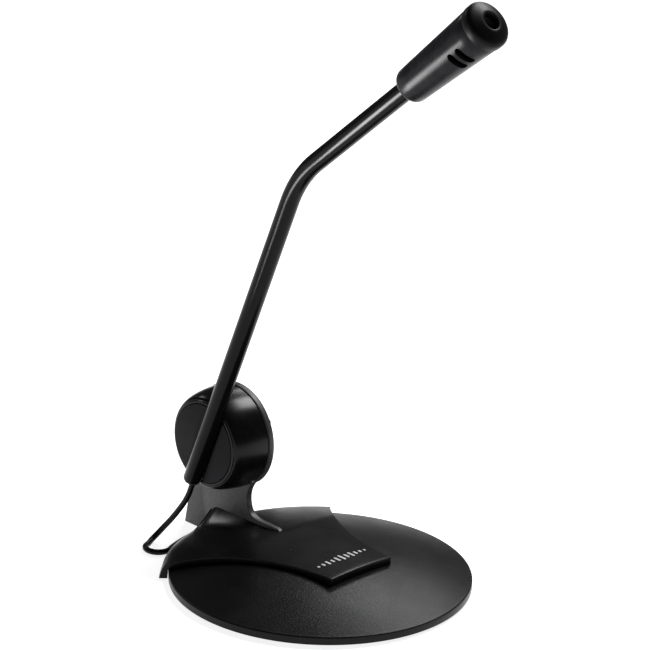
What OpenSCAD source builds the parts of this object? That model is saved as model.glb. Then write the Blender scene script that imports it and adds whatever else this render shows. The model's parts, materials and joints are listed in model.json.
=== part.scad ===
// Desktop microphone: a weighted round base, an upright blade with a friction hinge,
// a bent boom tube and a small electret microphone head, with its lead and jack plug.
// Millimetres. +Z is up, -Y is the front, the hinge axis lies along X. The origin is at
// the middle of the round base, on the surface that it stands on.

/* [Base] */
// Diameter of the round base
base_d = 110; // [100:1:130]
// Height of the base's upright edge
base_edge_h = 2.9; // [2.6:0.1:3.4]
// Thickness of the rubber pad that lifts the base
foot_h = 1; // [0.8:0.1:1.6]
// Wall thickness of the base shell
base_wall = 2; // [1.6:0.1:2.4]
// Thickness of the steel ballast disc
ballast_h = 2; // [1:0.1:2.2]

/* [Cover] */
// Half the width of the cover's straight front edge
cover_front_w = 15; // [12:0.5:18]
// Distance of the front edge from the base's centre
cover_front_y = 20.6; // [16:0.1:24]
// Height of the cover's flat crown above the floor
cover_crown_z = 12.85; // [12.4:0.05:13.4]
// Outer radius of the cover's skirt at the floor
skirt_r = 58.4; // [57.6:0.1:60]

/* [Stand] */
// Thickness of the upright blade
blade_t = 2.6; // [2.2:0.1:3]
// Distance of the hinge axis behind the base's centre
pivot_y = 46.7; // [44:0.1:48]
// Height of the hinge axis
pivot_z = 43.5; // [42:0.1:48]
// Radius of the blade's round head
blade_head_r = 19.8; // [19:0.1:21]

/* [Knob] */
// Radius of the knob where it meets the blade
knob_r = 19.4; // [18:0.1:19.6]
// Radius of the knob's flat face
knob_face_r = 15.8; // [15.4:0.1:17]
// Distance of the knob's face from the blade's middle plane
knob_face_x = 15.9; // [14.5:0.1:17]

/* [Boom] */
// Outer diameter of the boom tube
tube_d = 6.7; // [6:0.1:7.4]
// Lean of the lower straight from upright, in degrees
lean_low = 22.3; // [0:0.1:40]
// Lean of the upper straight from upright, in degrees
lean_high = 51; // [42:0.5:70]
// Length of the lower straight from the hinge to the corner
lower_len = 120.7; // [90:0.1:150]
// Length of the upper straight from the corner to the head
upper_len = 64; // [40:0.5:80]
// Radius of the bend along the tube's middle line
bend_r = 42; // [20:1:60]

/* [Head] */
// Length of the microphone head
head_len = 43; // [40:0.5:50]
// Diameter of the head at the front
head_front_d = 16.2; // [15.6:0.1:18]
// Diameter of the head at the rear shoulder
head_rear_d = 12.2; // [11:0.1:13]

/* [Lead] */
// Diameter of the lead
lead_d = 2.2; // [2:0.1:2.4]

/* [Hidden] */
$fn = 96;
fit_gap = 0.1;
seat_gap = 0.06;
base_r = base_d / 2;
edge_z = foot_h + base_edge_h;
dome_k = 0.00229;
dome_top = edge_z + dome_k * base_r * base_r;
plate_h = 1.4;
plate_top = foot_h + plate_h;
rim_w = 2.2;

// Height of the base's domed top, and of its underside, at a distance r from the middle
function dome_z(r) = dome_top - dome_k * r * r;
function under_z(r) = dome_z(r) - base_wall;

// Screws: shank radius, head radius and head height
screw_r = 1.1;
screw_head_r = 2.4;
screw_head_h = 1.2;
base_screw_pcr = 46.5;
base_screw_angles = [20, 160, 200, 340];
cover_screw_at = [[-24, 26], [24, 26]];
blade_screw_y = [25, 38];
seat_r = 3.6;
pad_disc_r = 43.5;
pad_edge = 0.5;
ballast_r = 40;

// Cover: crown cylinder, shoulder dome and side arcs
crown_r = 185;
shoulder_top = 13.86;
shoulder_k = 0.00244;
shoulder_end_r = 52;
side_arc_r = 83.6;
side_arc_x = cover_front_w + side_arc_r - 0.1;
side_arc_y = -cover_front_y - 3.4;
skirt_clear = 0.3;
skirt_bottom = 0.5;
corner = [56.6, 6.2];
toe = [57.4, 4];

// Sound-level bars on the cover: lengths, spacing, place and half width
mark_bars = [1.2, 1.9, 2.9, 2.1, 3.4, 4.2, 3, 3.7, 2.4, 1.7, 1.2];
mark_pitch = 2.3;
mark_y = -10.5;
mark_r = 0.5;
mark_proud = 0.12;

// Blade outline in the (y, z) plane
tail_y = 72.9;
tail_z = 0.3;
tail_top = [65.4, 40];
neck_arc_r = 10;
neck_arc_at = [28.4, 20.5];
tongue_tip_y = 21;
tongue_h = 1.1;

// Fairings at the blade's foot: ends, height at the rear, width, rings and points
flare_y0 = 30;
flare_y1 = 56;
flare_top = 12.2;
flare_w = 11;
flare_steps = 9;
flare_points = 7;

// Knob and hinge
knob_back_x = blade_t / 2 + 0.3;
knob_depth = knob_face_x - knob_back_x;
pad_t = 1.1;
pad_r = knob_face_r - 0.8;
pivot_r = 2;
hub_x = 7.5;
nut_room_r = 6;
washer_r = 7;
clamp_at = 11.6;
clamp_r = 1.25;

// Boom line in the plane of the tube
tube_r = tube_d / 2;
tube_bore = 2.25;
tube_x = -17;
tube_shift = 1.35;
tube_below = 15.8;
grommet_out = 0.7;
exit_shift = 1;
bend_angle = lean_high - lean_low;
bend_tangent = bend_r * tan(bend_angle / 2);
tube_in_head = 10;
bend_steps = 10;

// Head: cap, shell and what they hold
cap_len = 5;
shell_len = head_len - cap_len;
head_wall = 1.3;
cap_r = head_front_d / 2;
vent_z = [27, 30.9];
vent_w = 2.6;
board_t = 0.8;
board_s = shell_len - 4.65;

// Lead: it hangs from the grommet, runs round the back of the base and ends in a coil
lead_r = lead_d / 2;
lead_sides = 8;
stub_len = 5.2;
lead_route = [[-17.1, 53.3, 21.5], [-17.2, 54.2, 19.6], [-17.4, 55.9, 16.9], [-17.9, 58.6, 13],
    [-18.6, 61.4, 9.2], [-19.6, 63.8, 6], [-21.2, 65.4, 3.3], [-23.6, 65.7, 1.6], [-26.6, 64.4, 1.1],
    [-29.4, 63, 1.1], [-30.9, 60.3, 1.1], [-30.5, 57.2, 1.1], [-28.4, 55, 1.1],
    [-25.4, 54.6, 1.1], [-22.4, 55.9, 1.1], [-19, 57.1, 1.1], [-15, 58.3, 1.1], [-10, 59.4, 1.1],
    [-5, 60, 1.1], [0, 60.2, 1.1], [5, 60.7, 1.1], [10, 62.4, 1.1], [14.5, 65.5, 1.1],
    [18.6, 69.4, 1.1], [22.4, 73.8, 1.1], [26.2, 78.4, 1.1], [30.2, 83, 1.1],
    [35, 87.4, 1.1], [40.5, 91, 1.1], [46.8, 94.2, 1.1], [53.4, 97, 1.1], [60, 99.7, 1.1],
    [66, 102.2, 1.1]];
tail_route = [[75.2, 110.4, 12.1], [76.5, 113.5, 11.8], [77.8, 116.7, 10.6], [79, 119.6, 8.4],
    [80.1, 122.3, 5.9], [81.1, 124.6, 4.3], [82.1, 126.6, 4]];

// Coil of the lead's spare length, and the tie that holds it
coil_at = [62, 116];
coil_mid_r = 12.1;
coil_wide = 3;
coil_high = 6;
tie_t = 0.6;
tie_w = 5;
tie_angle = 330;

// Jack plug, lying on the floor behind the coil with its pin away from the base
plug_r = 4;
plug_heading = 62;
relief_len = 10;
grip_len = 20;
pin_r = 1.75;
pin_len = 14;
plug_rear = [82.1, 126.6, plug_r];

// Notch that lets the lead pass under the blade's foot
notch_w = 3.2;
notch_y = 60.2;
notch_top = 2.9;

// ---------- placing helpers ----------
// Turns a drawing in (y, z) into a plate of thickness t about the plane x = 0
module side_plate(t) {
    rotate([90, 0, 90]) translate([0, 0, -t / 2]) linear_extrude(t) children();
}

// Puts a piece built along +Z onto the hinge axis, pointing to -X, starting at distance x
module on_pivot(x) {
    translate([-x, pivot_y, pivot_z]) rotate([0, -90, 0]) children();
}

// Lower straight: +Z runs up the tube, the origin is beside the hinge axis
module on_lower(s) {
    translate([tube_x, pivot_y, pivot_z]) rotate([lean_low, 0, 0])
        translate([0, -tube_shift, s]) children();
}

// Upper straight: +Z runs towards the head, the origin is the tube's corner
module on_upper(s) {
    on_lower(lower_len) rotate([bend_angle, 0, 0]) translate([0, 0, s]) children();
}

// The head's own frame: +Z runs from its rear shoulder to its front
module on_head(s) {
    on_upper(upper_len + s) children();
}

// Points of the boom line in the tube's plane, shifted forward by off, at a length s from
// the hinge on the lower straight, at an angle a round the bend, and at s on the upper one
function low_at(s, off) = [tube_x,
    pivot_y - (tube_shift + off) * cos(lean_low) - s * sin(lean_low),
    pivot_z - (tube_shift + off) * sin(lean_low) + s * cos(lean_low)];
function bend_at(a, off) = low_at(lower_len - bend_tangent, bend_r)
    + (bend_r - off) * [0, cos(lean_low + a), sin(lean_low + a)];
function high_at(s, off) = low_at(lower_len, 0)
    + [0, -s * sin(lean_high) - off * cos(lean_high), s * cos(lean_high) - off * sin(lean_high)];
function boom_route(s_start, s_end, off) = concat([low_at(s_start, off)],
    [for (i = [0:bend_steps]) bend_at(bend_angle * i / bend_steps, off)], [high_at(s_end, off)]);

// One ring of radius r and n sides round route point i
function unit(v) = v / norm(v);
function route_ring(route, i, r, n) = let (
    t = unit(route[min(i + 1, len(route) - 1)] - route[max(i - 1, 0)]),
    side = unit(cross(t, [0, 0, 1])), up = cross(side, t))
    [for (k = [0:n - 1]) route[i] + r * (cos(360 * k / n) * side + sin(360 * k / n) * up)];
function skin(rings, n) = [for (i = [0:rings - 2]) for (k = [0:n - 1]) let (m = (k + 1) % n)
    [i * n + k, (i + 1) * n + k, (i + 1) * n + m, i * n + m]];

// A rod of radius r and n sides along a route
module rod(route, r, n) {
    rings = len(route);
    polyhedron([for (i = [0:rings - 1]) each route_ring(route, i, r, n)], concat(
        [[for (k = [0:n - 1]) k]], skin(rings, n),
        [[for (k = [n - 1:-1:0]) (rings - 1) * n + k]]));
}

// The same with a bore of radius r_in
module pipe(route, r, r_in, n) {
    rings = len(route);
    base = rings * n;
    last = (rings - 1) * n;
    polyhedron(concat(
        [for (i = [0:rings - 1]) each route_ring(route, i, r, n)],
        [for (i = [0:rings - 1]) each route_ring(route, i, r_in, n)]), concat(
        skin(rings, n),
        [for (f = skin(rings, n)) [for (j = [3:-1:0]) f[j] + base]],
        [for (k = [0:n - 1]) let (m = (k + 1) % n) [k, m, base + m, base + k]],
        [for (k = [0:n - 1]) let (m = (k + 1) % n)
            [last + m, last + k, base + last + k, base + last + m]]));
}

// A screw along +Z whose head's outer face is at z = 0
module screw(shank_r, shank_l, head_r, head_h) {
    difference() {
        union() {
            cylinder(r = head_r, h = head_h, $fn = 32);
            cylinder(r = shank_r, h = shank_l, $fn = 32);
        }
        for (a = [0, 90]) rotate([0, 0, a]) translate([-head_r * 0.6, -0.3, -1])
            cube([head_r * 1.2, 0.6, 1 + head_h * 0.6]);
    }
}

// ---------- base ----------
module dome_solid(bottom, drop, r_end) {
    rotate_extrude() polygon(concat(
        [for (i = [0:18]) let (r = r_end * i / 18) [r, dome_z(r) - drop]],
        [[r_end, bottom], [0, bottom]]));
}

module base_disc() {
    color([0.06, 0.06, 0.065]) difference() {
        union() {
            difference() {
                rotate_extrude() polygon(concat(
                    [for (i = [0:18]) let (r = (base_r - 0.4) * i / 18) [r, dome_z(r)]],
                    [[base_r, edge_z - 0.5], [base_r, foot_h], [0, foot_h]]));
                translate([0, 0, -1]) dome_solid(0, base_wall - 1, base_r - rim_w);
            }
            for (a = base_screw_angles) rotate([0, 0, a]) translate([base_screw_pcr, 0, plate_top])
                cylinder(r = 3, h = dome_z(base_screw_pcr) - plate_top - 0.8);
            for (y = blade_screw_y) translate([0, y, under_z(y) - 0.6])
                cylinder(r = seat_r + 1, h = base_wall);
            for (p = cover_screw_at) translate([p[0], p[1], under_z(norm(p)) - 0.6])
                cylinder(r = seat_r, h = base_wall);
        }
        for (a = base_screw_angles) rotate([0, 0, a]) translate([base_screw_pcr, 0, plate_top - 1])
            cylinder(r = screw_r, h = 3.6);
        for (y = blade_screw_y) translate([0, y, 0]) cylinder(r = seat_r - 0.9, h = 20);
        for (p = cover_screw_at) translate([p[0], p[1], 0]) cylinder(r = screw_r, h = 20);
    }
}

module ballast_plate() {
    color([0.5, 0.5, 0.52]) translate([0, 0, plate_top]) difference() {
        cylinder(r = ballast_r, h = ballast_h);
        translate([-6, 18, -1]) cube([12, 40, ballast_h + 2]);
        for (p = cover_screw_at) translate([p[0], p[1], -1]) cylinder(r = 3.6, h = ballast_h + 2);
        for (a = [180, 270, 0]) rotate([0, 0, a]) translate([24, 0, -1])
            cylinder(r = 2.2, h = ballast_h + 2);
    }
}

module bottom_plate() {
    color([0.09, 0.09, 0.09]) translate([0, 0, foot_h]) difference() {
        cylinder(r = base_r - rim_w - fit_gap, h = plate_h);
        for (a = base_screw_angles) rotate([0, 0, a]) translate([base_screw_pcr, 0, 0]) {
            translate([0, 0, -1]) cylinder(r = screw_r + 0.2, h = plate_h + 2);
            translate([0, 0, -1]) cylinder(r = screw_head_r + 0.1, h = 1 + 0.9);
        }
    }
}

module foot_pad() {
    color([0.05, 0.05, 0.05]) rotate_extrude() polygon([[0, 0], [pad_disc_r - pad_edge, 0],
        [pad_disc_r, pad_edge], [pad_disc_r, foot_h], [0, foot_h]]);
}

module base_screws() {
    color([0.6, 0.6, 0.62]) for (a = base_screw_angles) rotate([0, 0, a])
        translate([base_screw_pcr, 0, foot_h]) screw(screw_r - 0.02, 3.8, screw_head_r, 0.85);
}

// ---------- cover ----------
module cover_plan() {
    difference() {
        translate([-base_r - 10, -cover_front_y]) square([base_d + 20, 100]);
        for (s = [-1, 1]) translate([s * side_arc_x, side_arc_y]) circle(r = side_arc_r, $fn = 180);
    }
}

// Flat cylinder that gives the cover its crown, raised by proud
module crown(proud) {
    translate([0, 100, cover_crown_z + proud - crown_r]) rotate([90, 0, 0])
        cylinder(r = crown_r, h = 200, $fn = 360);
}

// Shoulder dome with a rounded edge and a slightly flared skirt
module cover_blank() {
    knee = [shoulder_end_r, shoulder_top - shoulder_k * shoulder_end_r * shoulder_end_r];
    rotate_extrude($fn = 180) polygon(concat(
        [for (i = [0:16]) let (r = shoulder_end_r * i / 16) [r, shoulder_top - shoulder_k * r * r]],
        [for (i = [1:8]) let (t = i / 8)
            (1 - t) * (1 - t) * knee + 2 * t * (1 - t) * corner + t * t * toe],
        [[skirt_r, skirt_bottom], [0, skirt_bottom]]));
}

module top_cover() {
    color([0.07, 0.07, 0.075]) difference() {
        intersection() {
            cover_blank();
            crown(0);
            linear_extrude(30) cover_plan();
        }
        dome_solid(-1, -seat_gap, base_r + skirt_clear);
        translate([-blade_t / 2 - 0.05, tongue_tip_y - 0.1, 0]) cube([blade_t + 0.1, 60, 30]);
        for (y = blade_screw_y) translate([0, y, 0]) cylinder(r = 2.7, h = dome_z(y) + 1.25);
        for (p = cover_screw_at) translate([p[0], p[1], 0])
            cylinder(r = screw_r, h = dome_z(norm(p)) + 1.7);
    }
}

module cover_screws() {
    color([0.6, 0.6, 0.62]) for (p = cover_screw_at)
        translate([p[0], p[1], under_z(norm(p)) - 0.6 - screw_head_h])
            screw(screw_r - 0.02, 5.4, screw_head_r, screw_head_h);
}

// A row of rounded sound-level bars near the cover's front edge
module level_mark() {
    middle = (len(mark_bars) - 1) / 2;
    color([0.8, 0.8, 0.8]) intersection() {
        for (i = [0:len(mark_bars) - 1])
            translate([(i - middle) * mark_pitch, mark_y, cover_crown_z - 0.9])
                linear_extrude(2) hull() for (s = [-1, 1])
                    translate([0, s * (mark_bars[i] / 2 - mark_r)]) circle(r = mark_r, $fn = 24);
        crown(mark_proud);
    }
}

// ---------- stand ----------
module blade_outline() {
    difference() {
        union() {
            translate([pivot_y, pivot_z]) circle(r = blade_head_r, $fn = 180);
            polygon(concat(
                [[34, 26], tail_top, [tail_y, tail_z], [base_r + 0.3, tail_z]],
                [for (i = [0:8]) let (y = base_r + 0.3 - (base_r + 0.3 - tongue_tip_y) * i / 8)
                    [y, dome_z(y) + seat_gap]],
                [[tongue_tip_y, 12.3], [tongue_tip_y + 1, 12.3 + tongue_h],
                    [30, 12.3 + tongue_h]]));
        }
        translate(neck_arc_at) difference() {
            circle(r = neck_arc_r);
            translate([-20, -20]) square([40, 20 - (neck_arc_at[1] - 12.3 - tongue_h)]);
        }
        translate([pivot_y, pivot_z]) circle(r = pivot_r + 0.05);
        translate([notch_y, notch_top - notch_w / 2]) circle(r = notch_w / 2, $fn = 32);
        translate([notch_y - notch_w / 2, -1]) square([notch_w, notch_top - notch_w / 2 + 1]);
    }
}

module stand_blade() {
    color([0.16, 0.16, 0.17]) difference() {
        union() {
            side_plate(blade_t) blade_outline();
            for (y = blade_screw_y) translate([0, y, under_z(y) - 0.6])
                cylinder(r = 2.6, h = base_wall + 0.6 + 1.2);
        }
        for (y = blade_screw_y) translate([0, y, 0]) cylinder(r = 0.9, h = dome_z(y) + 1.4);
    }
}

module blade_screws() {
    color([0.6, 0.6, 0.62]) for (y = blade_screw_y)
        translate([0, y, under_z(y) - 0.6 - screw_head_h]) screw(0.88, 4.9, 3.4, screw_head_h);
}

// Concave fairing at each side of the blade's foot, swept along Y
function dome_at(r) = shoulder_top - shoulder_k * r * r;
function edge_share(r) = let (a = corner[0] - shoulder_end_r, b = toe[0] - shoulder_end_r)
    (a - sqrt(a * a - (2 * a - b) * (min(r, toe[0]) - shoulder_end_r))) / (2 * a - b);
function shoulder_z(r) = r < shoulder_end_r ? dome_at(r) : let (t = edge_share(r))
    (1 - t) * (1 - t) * dome_at(shoulder_end_r) + 2 * t * (1 - t) * corner[1] + t * t * toe[1];
function cover_z(x, y) = min(cover_crown_z - x * x / (2 * crown_r), shoulder_z(norm([x, y])));
function flare_w_at(t) = 1.6 + (flare_w - 1.6) * pow(t, 0.8);
function flare_rise(t) = (flare_top - dome_at(flare_y1)) * pow(t, 1.2) + 0.15;
function flare_section(i) = let (t = i / flare_steps, y = flare_y0 + (flare_y1 - flare_y0) * t,
    x0 = blade_t / 2 + 0.02, w = flare_w_at(t))
    concat([for (j = [0:flare_points - 1]) let (v = j / (flare_points - 1), x = x0 + w * v)
        [x, y, cover_z(x, y) + flare_rise(t) * pow(1 - v, 2.2)]],
        [[x0 + w, y, cover_z(x0 + w, y) - 0.8], [x0, y, cover_z(x0, y) - 0.8]]);
module flare() {
    n = flare_points + 2;
    pts = [for (i = [0:flare_steps]) each flare_section(i)];
    polyhedron(pts, concat(
        [[for (j = [0:n - 1]) j]],
        [for (i = [0:flare_steps - 1]) for (j = [0:n - 1]) let (k = (j + 1) % n)
            [i * n + j, (i + 1) * n + j, (i + 1) * n + k, i * n + k]],
        [[for (j = [n - 1:-1:0]) flare_steps * n + j]]));
}
module neck_flares() {
    color([0.03, 0.03, 0.03]) {
        flare();
        mirror([1, 0, 0]) flare();
    }
}

// ---------- hinge ----------
module pivot_bolt() {
    color([0.62, 0.62, 0.64]) on_pivot(-4.6) difference() {
        union() {
            cylinder(r = 3.8, h = 2.4);
            cylinder(r = pivot_r, h = 17.2);
        }
        translate([0, 0, -1]) cylinder(r = 1.7, h = 2.4, $fn = 6);
    }
}

module bolt_washer() {
    color([0.7, 0.7, 0.72]) on_pivot(-2.2) difference() {
        cylinder(r = 4.6, h = 2.2 - blade_t / 2);
        translate([0, 0, -1]) cylinder(r = pivot_r + 0.05, h = 4);
    }
}

module pivot_cap() {
    color([0.05, 0.05, 0.05]) on_pivot(-blade_t / 2) mirror([0, 0, 1]) rotate_extrude()
        polygon([[5, 0], [9, 0], [9, 1.6], [8.4, 3], [7, 4], [0, 4.8], [0, 3.6], [5, 3.6]]);
}

module friction_washer() {
    color([0.75, 0.72, 0.62]) on_pivot(blade_t / 2) difference() {
        cylinder(r = washer_r, h = 1);
        translate([0, 0, -1]) cylinder(r = pivot_r + 0.05, h = 4);
    }
}

module spring_washer() {
    color([0.45, 0.46, 0.5]) on_pivot(hub_x + fit_gap) difference() {
        cylinder(r = 4.2, h = 1.1);
        translate([0, 0, -1]) cylinder(r = pivot_r + 0.05, h = 4);
        translate([0, -0.4, -1]) cube([6, 0.8, 4]);
    }
}

module pivot_nut() {
    color([0.62, 0.62, 0.64]) on_pivot(hub_x + fit_gap + 1.15) difference() {
        cylinder(r = 4, h = 3, $fn = 6);
        translate([0, 0, -1]) cylinder(r = pivot_r + 0.01, h = 5);
    }
}

// ---------- knob ----------
function knob_side(t) = let (a = 90 * t) [knob_r - (knob_r - knob_face_r - 0.6) * (1 - cos(a)),
    (knob_depth - 0.6) * sin(a)];
// Place of a clamp screw along the tube, seen from the hinge axis
function clamp_offset(s) = [s * clamp_at * cos(lean_low) + tube_shift * sin(lean_low),
    s * clamp_at * sin(lean_low) - tube_shift * cos(lean_low), 0];
module knob() {
    color([0.04, 0.04, 0.04]) difference() {
        on_pivot(knob_back_x) difference() {
            rotate_extrude($fn = 180) polygon(concat([[0, 0]],
                [for (i = [0:12]) knob_side(i / 12)],
                [[knob_face_r, knob_depth], [0, knob_depth]]));
            translate([0, 0, knob_depth - pad_t]) cylinder(r = pad_r, h = 5);
            translate([0, 0, -1]) cylinder(r = pivot_r + 0.08, h = 30);
            translate([0, 0, -1]) cylinder(r = washer_r + 0.3, h = 1 + 0.8);
            translate([0, 0, hub_x - knob_back_x]) cylinder(r = nut_room_r, h = 30);
            translate([0, 0, -1]) difference() {
                cylinder(r = 16.4, h = 9);
                cylinder(r = 8.4, h = 30);
            }
            for (s = [-1, 1]) translate(clamp_offset(s))
                cylinder(r = clamp_r + 0.05, h = 20, $fn = 32);
        }
        on_lower(-30) cylinder(r = tube_r + 0.05, h = 60);
    }
}

module knob_pads() {
    color([0.2, 0.2, 0.21]) difference() {
        on_pivot(knob_face_x - pad_t + 0.02) cylinder(r = pad_r - 0.05, h = pad_t - 0.04);
        on_lower(-30) translate([-10, -tube_r - 0.6, 0]) cube([20, tube_d + 1.2, 60]);
    }
}

module clamp_screws() {
    color([0.6, 0.6, 0.62]) for (s = [-1, 1]) on_pivot(8.1) translate(clamp_offset(s))
        screw(clamp_r, 6.2, 2.2, 1.4);
}

// ---------- boom ----------
module boom_tube() {
    color([0.03, 0.03, 0.03])
        pipe(boom_route(-tube_below, upper_len + tube_in_head, 0), tube_r, tube_bore, 32);
}

module cable_grommet() {
    color([0.05, 0.05, 0.05]) on_lower(-tube_below) difference() {
        union() {
            cylinder(r = tube_bore - 0.05, h = 4);
            translate([0, 0, -grommet_out]) cylinder(r = tube_r - 0.3, h = grommet_out);
        }
        translate([0, -exit_shift, -5]) cylinder(r = lead_r + 0.02, h = 10);
    }
}

// The lead inside the tube lies along its front wall
module inner_cable() {
    color([0.05, 0.05, 0.05])
        rod(boom_route(-tube_below - grommet_out, upper_len + board_s, exit_shift), lead_r, 12);
}

module tube_collar() {
    color([0.7, 0.62, 0.4]) on_head(7) difference() {
        cylinder(r = 4.1, h = 2.6);
        translate([0, 0, -1]) cylinder(r = tube_r + 0.03, h = 6);
    }
}

// ---------- head ----------
function head_r(z) = head_rear_d / 2 + (cap_r - 0.2 - head_rear_d / 2) * z / shell_len;
module vent_cut(z, side) {
    rotate([0, 0, side < 0 ? 226 : 314]) translate([0, 0, z]) rotate([0, 90, 0]) hull()
        for (s = [-1, 1]) translate([0, s * 2.4, 3]) cylinder(r = vent_w / 2, h = 8, $fn = 32);
}

module head_shell() {
    color([0.04, 0.04, 0.04]) on_head(0) difference() {
        rotate_extrude() polygon([[tube_r + 0.03, 0], [4.9, 0], [5.8, 0.6], [head_r(1.6), 1.6],
            [head_r(shell_len), shell_len], [head_r(shell_len) - head_wall, shell_len],
            [head_r(10) - head_wall, 10], [4.15, 10], [4.15, 7], [tube_r + 0.03, 7]]);
        for (z = vent_z) for (side = [-1, 1]) vent_cut(z, side);
    }
}

module front_cap() {
    color([0.05, 0.05, 0.05]) on_head(shell_len) rotate_extrude() polygon([
        [6.2, 0.02], [cap_r, 0.02], [cap_r, 2.4], [cap_r - 0.35, 3.2], [cap_r - 1.2, 3.9],
        [cap_r - 3, 4.6], [4, cap_len], [2.75, 4.4], [2.75, 2.6], [5.6, 2.6], [5.6, -1.4],
        [6.15, -1.4]]);
}

module dust_screen() {
    color([0.12, 0.12, 0.12]) on_head(shell_len + 1.75) cylinder(r = 5.5, h = 0.8);
}

module mic_capsule() {
    color([0.75, 0.75, 0.76]) on_head(shell_len - 2.9) union() {
        cylinder(r = 4.8, h = 4.4);
        cylinder(r = 3.4, h = 4.6);
    }
}

module capsule_boot() {
    color([0.07, 0.07, 0.07]) on_head(shell_len - 3.4) difference() {
        cylinder(r = 5.55, h = 4.9);
        translate([0, 0, 0.5]) cylinder(r = 4.83, h = 10);
        translate([0, 0, -1]) cylinder(r = 3, h = 10);
    }
}

module capsule_board() {
    color([0.1, 0.35, 0.2]) on_head(board_s + 0.02) difference() {
        cylinder(r = 4.4, h = board_t);
        translate([0, 0, -1]) for (s = [-1, 1]) translate([s * 2, 0, 0])
            cylinder(r = 0.5, h = 4, $fn = 24);
    }
}

// ---------- lead ----------
module lead_stub() {
    color([0.05, 0.05, 0.05]) on_lower(-tube_below - grommet_out - stub_len)
        translate([0, -exit_shift, 0]) cylinder(r = lead_r, h = stub_len);
}

module lead_run() {
    color([0.05, 0.05, 0.05]) rod(lead_route, lead_r, lead_sides);
}

module lead_tail() {
    color([0.05, 0.05, 0.05]) rod(tail_route, lead_r, lead_sides);
}

module lead_coil() {
    r_in = coil_mid_r - coil_wide * lead_r;
    color([0.05, 0.05, 0.05]) translate([coil_at[0], coil_at[1], 0]) rotate_extrude()
        translate([r_in, 0]) square([coil_wide * lead_d, coil_high * lead_d]);
}

module coil_tie() {
    wide = coil_wide * lead_d;
    high = coil_high * lead_d;
    color([0.1, 0.1, 0.1]) translate([coil_at[0], coil_at[1], 0]) rotate([0, 0, tie_angle])
        translate([coil_mid_r - wide / 2, -tie_w / 2, 0]) difference() {
            translate([-tie_t, 0, 0]) cube([wide + 2 * tie_t, tie_w, high + tie_t]);
            translate([0.3, -1, 0.4]) cube([wide - 0.6, tie_w + 2, high - 0.4]);
        }
}

// ---------- plug ----------
// The plug's own frame: +Z runs from its rear towards the tip of its pin
module on_plug(s) {
    translate(plug_rear) rotate([0, 0, plug_heading]) rotate([0, 90, 0])
        translate([0, 0, s]) children();
}

module plug_relief() {
    color([0.05, 0.05, 0.05]) on_plug(0) rotate_extrude() polygon([[0, 0], [1.5, 0],
        [2.6, relief_len], [0, relief_len]]);
}

module plug_grip() {
    color([0.05, 0.05, 0.05]) on_plug(relief_len) rotate_extrude() polygon([[0, 0], [3.1, 0],
        [plug_r, 2.5], [plug_r, 14], [plug_r - 0.5, grip_len - 1], [plug_r - 1.2, grip_len],
        [0, grip_len]]);
}

module plug_pin() {
    color([0.8, 0.8, 0.82]) on_plug(relief_len + grip_len) rotate_extrude() polygon([[0, 0],
        [pin_r, 0], [pin_r, 5], [1.4, 5], [1.4, 5.8], [pin_r, 5.8], [pin_r, 8.3], [1.4, 8.3],
        [1.4, 9.1], [pin_r, 9.1], [pin_r, 10.6], [1.15, 11.3], [1.7, 12.2], [1.2, 13.5],
        [0, pin_len]]);
}

module plug_bands() {
    color([0.05, 0.05, 0.05]) for (s = [5, 8.3]) on_plug(relief_len + grip_len + s)
        difference() {
            cylinder(r = pin_r, h = 0.8);
            translate([0, 0, -1]) cylinder(r = 1.4, h = 3);
        }
}

base_disc();
ballast_plate();
bottom_plate();
foot_pad();
base_screws();
top_cover();
cover_screws();
stand_blade();
blade_screws();
neck_flares();
level_mark();
pivot_bolt();
bolt_washer();
pivot_cap();
friction_washer();
spring_washer();
pivot_nut();
knob();
knob_pads();
clamp_screws();
boom_tube();
cable_grommet();
inner_cable();
tube_collar();
head_shell();
front_cap();
dust_screen();
mic_capsule();
capsule_boot();
capsule_board();
lead_stub();
lead_run();
lead_coil();
lead_tail();
coil_tie();
plug_relief();
plug_grip();
plug_pin();
plug_bands();
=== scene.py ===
"""Looks of the desktop microphone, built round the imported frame.

Shapes are written in millimetres in the frame's own axes (+Z up, -Y front, +X along the hinge
axis) and turned into metres when a mesh is made.
"""

import json
import math

import bmesh
import bpy
from mathutils import Matrix, Vector


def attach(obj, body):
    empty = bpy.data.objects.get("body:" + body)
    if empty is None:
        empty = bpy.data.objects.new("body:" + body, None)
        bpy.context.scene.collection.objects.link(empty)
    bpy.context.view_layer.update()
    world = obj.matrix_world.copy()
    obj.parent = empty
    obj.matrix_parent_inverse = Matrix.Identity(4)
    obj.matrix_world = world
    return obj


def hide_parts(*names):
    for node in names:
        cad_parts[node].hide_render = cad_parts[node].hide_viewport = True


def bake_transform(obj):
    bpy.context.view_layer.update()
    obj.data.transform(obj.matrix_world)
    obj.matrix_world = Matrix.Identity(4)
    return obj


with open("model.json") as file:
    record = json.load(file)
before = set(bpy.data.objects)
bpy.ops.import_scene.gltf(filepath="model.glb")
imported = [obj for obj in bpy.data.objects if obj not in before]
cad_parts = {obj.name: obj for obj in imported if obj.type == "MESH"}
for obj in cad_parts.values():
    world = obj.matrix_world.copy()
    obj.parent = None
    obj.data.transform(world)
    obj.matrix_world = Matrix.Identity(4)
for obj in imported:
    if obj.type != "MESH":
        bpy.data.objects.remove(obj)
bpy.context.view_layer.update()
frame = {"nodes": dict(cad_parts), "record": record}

MM = 0.001
X, Z = Vector((1, 0, 0)), Vector((0, 0, 1))

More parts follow.
